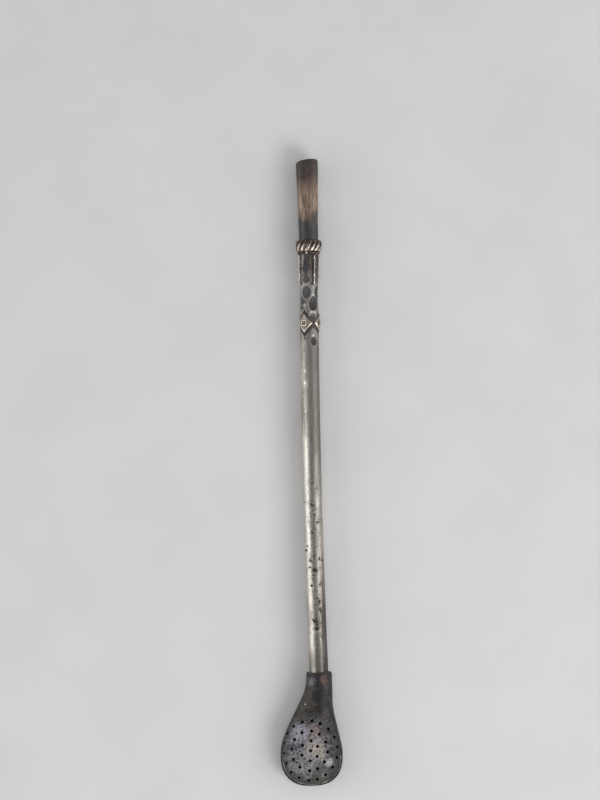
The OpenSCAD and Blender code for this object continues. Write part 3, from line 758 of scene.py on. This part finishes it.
# The strainer's back: half of a hammered spoon-shaped shell, from the neck round the bowl to the tip.
# Its edge stands out past the pierced front as a lip, painted darker as shade and rubbed bright along the
# lower seam.
head_w, wide_at, front_rise, shell_t, seam_lip = 21.8, 11.0, 4.2, 0.7, 0.5
neck_r, head_shift, flare_z = sleeve_r + solder_gap + shell_t, 3.3, head_len - 1
shift_run, bowl_run, neck_ease = 26.0, 13.0, 1.2


def into_tip(z):
    """How far a height is into the blunt tip, from 0 at the widest place to nearly 1 at the end."""
    return 0.998 * np.maximum(0, (wide_at - z) / wide_at)


def bowl_share(z):
    """0 along the round neck, 1 in the bowl, an S-curve between."""
    return ease((sleeve_foot - 1 - z) / bowl_run)


def half_width(z):
    """Half the head's width: a superellipse round the tip, an S-curve from the bowl to the neck."""
    blunt = head_w / 2 * (1 - into_tip(z) ** 2.5) ** 0.4
    tapered = mix(neck_r, head_w / 2, ease(np.clip((flare_z - z) / (flare_z - wide_at), 0, 1) ** 1.15))
    return np.where(z < wide_at, blunt, tapered)


def half_shell(front, a, z):
    """One half of the head: at each height a superellipse over the angle a from the left seam to the right
    one. The crest moves from the tube's axis to the bowl's middle, and each side has its own width."""
    held = np.where(z < wide_at, head_shift, half_width(z) - neck_r)
    shift = -np.minimum(head_shift * ease(np.clip((flare_z - z) / shift_run, 0, 1) ** 0.8), held)
    crest = shift * bowl_share(z)
    side = np.where(np.cos(a) > 0, -1, 1)
    into_end = np.clip((z - head_len + neck_ease) / neck_ease, 0, 1)
    end_ease = 0.35 * (1 - np.sqrt(1 - into_end**2))
    inset = seam_lip * ease((wide_at + 9 - z) / 8) if front else 0
    wide = half_width(z) + side * (shift - crest) - inset - end_ease
    bowl_deep = front_rise if front else axis_up + 0.25
    deep = mix(neck_r, bowl_deep, bowl_share(z)) * (1 - into_tip(z) ** 4) ** 0.25
    e = mix(1, 0.88, bowl_share(z))
    x = crest - wide * squared_off(np.cos(a), e)
    y = (deep - end_ease) * np.maximum(np.sin(a), 0) ** e
    hammered = 0.03 * (np.cos(0.7 * x + 0.43 * z) + np.cos(0.37 * x - 0.61 * z + 1)) * np.sin(a) ** 2 - 0.06
    if front:
        return x, -y - hammered, z + seam_lip * into_tip(z)
    return x, np.minimum(y + hammered, axis_up), z


def head_rows(step):
    """Heights of the rows, close together round the tip and on the pierced bowl, wider up the neck."""
    tip_end, bowl_end, last_turn = 2.2, 24.6, np.radians(86)
    inwards = np.sin(last_turn * np.linspace(1, 0, 40, endpoint=False)) / np.sin(last_turn)
    tip_rows = wide_at * (1 - inwards**0.8)
    end_rows = head_len - neck_ease + neck_ease * np.sin(np.linspace(0.2, np.pi / 2, 7))
    return np.concatenate([tip_rows[tip_rows < tip_end], np.arange(tip_end, bowl_end, step),
                           np.linspace(bowl_end, head_len - 1.4, 32), end_rows])


def shell_grid(front, a, z):
    """The half shell on a grid; smaller copies of the first row, shrunk to its middle, close the tip."""
    x, y, up = np.broadcast_arrays(*half_shell(front, a, z))
    shrunk = np.array([0.04, 0.35, 0.7])[:, None]
    middle = (x[0, 0] + x[0, -1]) / 2
    x = np.concatenate([middle + (x[:1] - middle) * shrunk, x])
    return x, np.concatenate([y[:1] * shrunk, y]), np.concatenate([up[:1] + 0 * shrunk, up])


def thicken(piece):
    """Gives a shell its sheet thickness, inwards from the skin, with walls along every edge."""
    sheet = piece.modifiers.new("sheet", "SOLIDIFY")
    sheet.thickness, sheet.offset = shell_t / 1000, -1


char, olive, bare_metal = (0.03, 0.028, 0.029), (0.075, 0.068, 0.057), (0.62, 0.6, 0.57)
lip_shade, shell_fleck = (0.035, 0.033, 0.035), (0.26, 0.25, 0.25)
shell_metal, shader, place = new_finish("shell_patina_dark")
shader.inputs["Specular IOR Level"].default_value = 0.3
cloud = place.mottle(0.3, 5.0, (1, 0.7, 1), 0.8)
grit = place.mottle(1.7, 4.0)
lip = part_of(place, "Z").rise(4.45, 4.66)
to_tip = part_of(place, "Y").rise(-107.0, -109.4)
rubbed = lip * (place.mottle(0.32, 3.0) + (grit - 0.5) * 0.5 - to_tip * 0.1).rise(0.62, 0.74) * 0.8
aged = (cloud + (grit - 0.5) * 0.4).rise(0.36, 0.66)
# Painted shade: the lip is darkened.
tone = (lip * 0.7).tint(aged.tint(char, olive), lip_shade)
tone = (grit.rise(0.6, 0.72) * 0.35 * (1 - lip)).tint(tone, shell_fleck)
rubbed.tint(tone, bare_metal).into(shader, "Base Color")
(0.4 + 0.14 * aged - 0.14 * rubbed).into(shader, "Roughness")
(0.5 + 0.5 * rubbed).into(shader, "Metallic")
(cloud * 0.5 + grit * 0.4).bump(0.4, 0.15).into(shader, "Normal")
angle = np.linspace(0, np.pi, 97)[None, :]
x, y, up = shell_grid(False, angle, head_rows(0.3)[:, None])
back = make_piece("strainer_back_shell", lay(x, y, up), cells(*x.shape, False, False)[:, ::-1])
thicken(back)
dress(back, shell_metal, "strainer", "strainer_shell", "strainer_back")

# The strainer's front: the pierced half of the head, domed, let into the back's edge and soldered round it.
# The holes were punched by hand in rings; the face is mottled grey and plum where tea and fingers wore it,
# and its right side, low flanks and hole edges are painted darker as shade.
hole_r, hole_pitch, hole_centre, dome_r = 0.55, 3.5, 12.8, 13.5
hole_turn, hole_side, hole_drift = np.radians(-5), -0.3, 0.9
hole_core, hole_reach, hole_open = 0.6 * hole_r, 1.7 * hole_r, 0.66 * hole_r


def hole_places():
    """The centre hole and three rings of six, twelve and eighteen, bent across the dome; those on the right
    wander towards the middle by a half wave of sine. Gives x from the bowl's middle and the height."""
    ring = np.repeat([1, 2, 3], [6, 12, 18])
    step = np.concatenate([np.arange(6 * k) for k in (1, 2, 3)])
    turn = np.pi / 2 + np.pi / 3 / ring * step + hole_turn
    u = np.concatenate([[0], ring * hole_pitch * np.cos(turn)])
    z = hole_centre + np.concatenate([[0], ring * hole_pitch * np.sin(turn)])
    drift = hole_drift * np.sin(np.pi * np.clip(u / (3 * hole_pitch), 0, 1))
    return dome_r * np.sin(u / dome_r) - drift + hole_side, z


def pierced_grid(step, cols):
    """The front on a grid with its holes opened: points near a hole are pushed out from its middle in
    proportion, faces inside are left out, and the points round each opening lie on the hole's circle."""
    a = np.linspace(0, np.pi, cols)[None, :]
    x, y, up = shell_grid(True, a, head_rows(step)[:, None])
    points = np.stack([x, y, up], -1).reshape(-1, 3)
    hole_u, hole_z = hole_places()
    hole_x = hole_u - head_shift
    flat_gap = np.hypot(points[:, :1] - hole_x, points[:, 2:] - hole_z)
    near = np.argmin(flat_gap, 1)
    below_face = points[:, 1:2] > -0.3
    middles = points[np.argmin(flat_gap + far_out * below_face, 0)]
    middles[:, 0], middles[:, 2] = hole_x, hole_z
    gap = points - middles[near]
    away = np.linalg.norm(gap, axis=1)
    outwards = gap / np.maximum(away, 1e-6)[:, None]
    faces = cells(*x.shape, False, False)
    centre = points[faces].mean(1)
    face_gap = np.linalg.norm(centre[:, None] - middles, axis=2).min(1)
    open_face = face_gap < hole_open
    crowding = (hole_reach - hole_r) / (hole_reach - hole_core)
    pushed = np.where(away < hole_reach, hole_r + (away - hole_core) * crowding, away)
    edge = np.zeros(len(points), bool)
    edge[faces[open_face].ravel()] = True
    inner = np.ones(len(points), bool)
    inner[faces[~open_face].ravel()] = False
    pushed = np.where(edge & ~inner, hole_r, pushed)
    points = middles[near] + outwards * pushed[:, None]
    used = np.unique(faces[~open_face])
    number = np.zeros(len(points), int)
    number[used] = np.arange(len(used))
    ring = np.clip((pushed[used] - hole_r) / 0.45, 0, 1)
    return points[used], number[faces[~open_face]], ring


def stained(tone, place, stains):
    """Lays spots over a colour in turn, stains and also painted glints and shade: each has its place and
    radius, the noise that frays its edge, how strongly it shows, and its colour."""
    for x, y, r, frayed, strength, colour in stains:
        tone = (place.spot(x, y, r, frayed) * strength).tint(tone, colour)
    return tone


olive_pale, tea_brown, copper_red = (0.14, 0.128, 0.11), (0.13, 0.098, 0.076), (0.21, 0.112, 0.08)
lilac_glint, plum_highlight, blue_glint = (0.26, 0.24, 0.32), (0.21, 0.2, 0.23), (0.2, 0.22, 0.25)
neck_right_shade, moss, ash = (0.024, 0.022, 0.024), (0.085, 0.086, 0.08), (0.31, 0.3, 0.305)
lilac_pale, rose_brown = (0.43, 0.41, 0.48), (0.26, 0.19, 0.172)
plum_dark, umber = (0.075, 0.067, 0.088), (0.066, 0.058, 0.058)
face_dark, face_grey, face_tan = (0.05, 0.046, 0.056), (0.31, 0.296, 0.314), (0.52, 0.455, 0.385)
right_dark, right_grey, flank_dark = (0.02, 0.018, 0.021), (0.062, 0.057, 0.062), (0.036, 0.034, 0.036)
crumb_grey, fleck_pale = (0.26, 0.25, 0.24), (0.5, 0.49, 0.48)
edge_bare, hole_dirt = (0.76, 0.74, 0.71), (0.03, 0.027, 0.03)
plate_metal, shader, place = new_finish("pierced_face_mottled")
shader.inputs["Specular IOR Level"].default_value = 0.3
along, above = part_of(place, "Y"), part_of(place, "Z")
cloud = place.mottle(0.24, 5.0, (1, 1, 1), 0.8)
patch = place.mottle(0.62, 5.0, (1, 1, 1), 0.7)
grit = place.mottle(1.5, 5.0, (1, 1, 1), 0.4)
crumb = place.mottle(3.2, 3.0)
# Among the neck's real stains, the lilac, blue and plum spots are painted glints and highlight, and the
# dark spot on the right is painted shade.
neck_stains_and_light = [
    (-3.4, -80.0, 4.0, cloud, grit.rise(0.35, 0.6) * 0.6, olive_pale),
    (2.3, -81.5, 2.0, cloud, patch.rise(0.35, 0.65) * 0.6, tea_brown),
    (0.8, -73.4, 1.5, None, patch.rise(0.3, 0.6) * 0.5, lilac_glint),
    (6.3, -75.7, 1.0, None, grit.rise(0.36, 0.6) * 0.6, blue_glint),
    (5.0, -79.5, 5.0, cloud, 0.75, neck_right_shade),
    (-0.3, -73.6, 1.6, None, grit.rise(0.3, 0.6) * 0.5, plum_highlight),
    (5.0, -72.8, 1.7, None, patch.rise(0.28, 0.6) * 0.6, copper_red)]
face_stains = [
    (3.9, -105.8, 4.4, patch, 0.65, moss),
    (-3.6, -102.6, 4.6, patch, grit.rise(0.34, 0.6) * 0.7, ash),
    (-3.8, -91.0, 3.0, patch, grit.rise(0.3, 0.62) * 0.9, lilac_pale),
    (1.9, -90.4, 2.4, patch, 0.7, rose_brown),
    (-6.2, -96.4, 2.0, patch, 0.7, plum_dark),
    (5.0, -89.2, 3.0, patch, 0.9, umber)]
tone = (cloud + (grit - 0.5) * 0.6).rise(0.34, 0.66).tint(char, olive)
tone = stained(tone, place, neck_stains_and_light)
tone = (crumb.rise(0.62, 0.72) * 0.35).tint(tone, crumb_grey)
mottled = (patch + (grit - 0.5) * 0.9).rise(0.33, 0.69).tint(face_dark, face_grey)
mottled = stained(mottled, place, face_stains)
warm = place.spot(0.9, -96.9, 3.4, patch).most(place.spot(2.4, -98.4, 2.8, patch))
warm = warm * (grit * 0.7 + patch * 0.3 + (crumb - 0.5) * 0.3).rise(0.3, 0.62)
mottled = (warm * 0.8).tint(mottled, face_tan)
flecks = place.spot(6.0, -101.8, 1.8, crumb).most(place.spot(-3.7, -104.1, 0.9, crumb))
flecks = flecks.most(place.spot(3.9, -106.2, 0.8, crumb)) * crumb.rise(0.42, 0.58)
flecks = flecks.most(crumb.rise(0.64, 0.74) * 0.45)
mottled = (flecks * 0.8).tint(mottled, fleck_pale)
face = place.spot(-1.2, -97.4, 11.2, cloud * 0.45 + patch * 0.15 + 0.2)
# Painted shade: the face's right side and its low flanks are darkened.
right_side = (part_of(place, "X") + (cloud - 0.5) * 4.0).rise(4.0, 7.2)
shaded = (patch + (grit - 0.5) * 0.8).rise(0.4, 0.7).tint(right_dark, right_grey)
tone = (right_side * 0.9).tint(face.tint(tone, mottled), shaded)
tone = place.spot(6.0, -101.8, 1.6, crumb).tint(tone, mottled)
flank_shade = above.rise(8.3, 6.2) * (0.55 + 0.45 * along.rise(-84.0, -90.0))
tone = (flank_shade * 0.75).tint(tone, flank_dark)
low_edge = above.rise(6.1, 5.6) * above.rise(4.85, 5.15) * along.rise(-97.0, -101.0)
tip_wall = above.rise(7.3, 6.4) * along.rise(-107.6, -109.0) * 0.8
rubbed_off = (cloud + (patch - 0.5) * 0.3 + (grit - 0.5) * 0.3).rise(0.38, 0.62)
worn_edge = low_edge.most(tip_wall) * rubbed_off * 0.9
white_speck = place.spot(-1.8, -81.4, 0.22)
tone = white_speck.most(worn_edge).tint(tone, edge_bare)
# Painted shade: the face darkens towards each hole's edge.
shadowed = kept(place, "rim").rise(0.35, 0.0)
(shadowed * 0.8).tint(tone, hole_dirt).into(shader, "Base Color")
(0.46 + 0.1 * cloud - 0.1 * face - 0.16 * worn_edge).into(shader, "Roughness")
(0.45 - 0.15 * face + 0.5 * worn_edge).into(shader, "Metallic")
(patch * 0.5 + grit * 0.5 + crumb * 0.25).bump(0.5, 0.18).into(shader, "Normal")
points, faces, ring = pierced_grid(0.17, 157)
front = make_piece("strainer_front_plate", lay(points[:, 0], points[:, 1], points[:, 2]), faces, rim=ring)
thicken(front)
dress(front, plate_metal, "strainer", "strainer_plate", "strainer_front")

# The straw lies on a plain pale table under soft daylight that is dimmer overhead. A window beyond its foot
# on the right throws the shadow up and to the left. A broad one on the left, a narrow one on the right and
# a soft fill from above, which the metal doesn't mirror, light the rest.
table_half, table_low, table_high = 2.0, (0.68, 0.678, 0.676), (0.71, 0.708, 0.706)
table_corners = table_half * np.array([(-1, -1, 0), (1, -1, 0), (1, 1, 0), (-1, 1, 0)])
table_mesh = bpy.data.meshes.new("table_top")
table_mesh.from_pydata(table_corners.tolist(), [], [(0, 1, 2, 3)])
table = bpy.data.objects.new("table_top", table_mesh)
bpy.context.scene.collection.objects.link(table)
table_paint, shader, place = new_finish("table_paint")
place.mottle(0.03, 3.0).rise(0.3, 0.7).tint(table_low, table_high).into(shader, "Base Color")
shader.inputs["Roughness"].default_value = 0.6
shader.inputs["Specular IOR Level"].default_value = 0.2
table_mesh.materials.append(table_paint)

wall_light, overhead_light = (0.74, 0.74, 0.74), (0.19, 0.19, 0.195)
daylight = bpy.data.worlds.new("daylight")
daylight.use_nodes = True
bpy.context.scene.world = daylight
outwards = Tone(daylight.node_tree).node("TexCoord", out="Generated")
dimmed = part_of(outwards, "Z").rise(0.4, 0.85)
dimmed.tint(wall_light, overhead_light).into(daylight.node_tree.nodes["Background"], "Color")


def hang_lamp(name, at, wide, high, radiance):
    """A flat lamp at a point, turned to face the straw; its watts are radiance times area times pi."""
    light = bpy.data.lights.new(name, "AREA")
    light.shape, light.size, light.size_y = "RECTANGLE", wide, high
    light.energy = radiance * wide * high * np.pi
    lamp = bpy.data.objects.new(name, light)
    lamp.location = at
    lamp.rotation_euler = (-lamp.location).to_track_quat("-Z", "Y").to_euler()
    bpy.context.scene.collection.objects.link(lamp)
    return lamp


hang_lamp("window_key", (0.72, -0.6, 0.72), 0.6, 0.6, 5.4)
hang_lamp("window_left", (-0.78, -0.12, 0.34), 0.8, 0.66, 0.95)
hang_lamp("window_right", (0.85, 0.0, 0.5), 0.8, 0.22, 2.1)
hang_lamp("ceiling_fill", (0.0, 0.0, 1.3), 1.0, 1.0, 0.9).visible_glossy = False

# The camera looks straight down from a metre up, over a point between the straw's middle and its mouth.
# It is turned a little, so that the mouth leans to the left.
lean, view_height, view_mid = np.radians(1.38), 1.0, (-0.0011, 0.0254)
mm_per_px, picture_rows = 0.352, 800
camera = bpy.data.cameras.new("above")
camera.sensor_width = 36.0
camera.lens = camera.sensor_width * (view_height * 1000 / mm_per_px) / picture_rows
viewer = bpy.data.objects.new("above", camera)
viewer.location = (*view_mid, view_height + axis_up / 1000)
viewer.rotation_euler = (0, 0, -lean)
bpy.context.scene.collection.objects.link(viewer)
bpy.context.scene.camera = viewer
bpy.context.scene.view_settings.view_transform = "Standard"
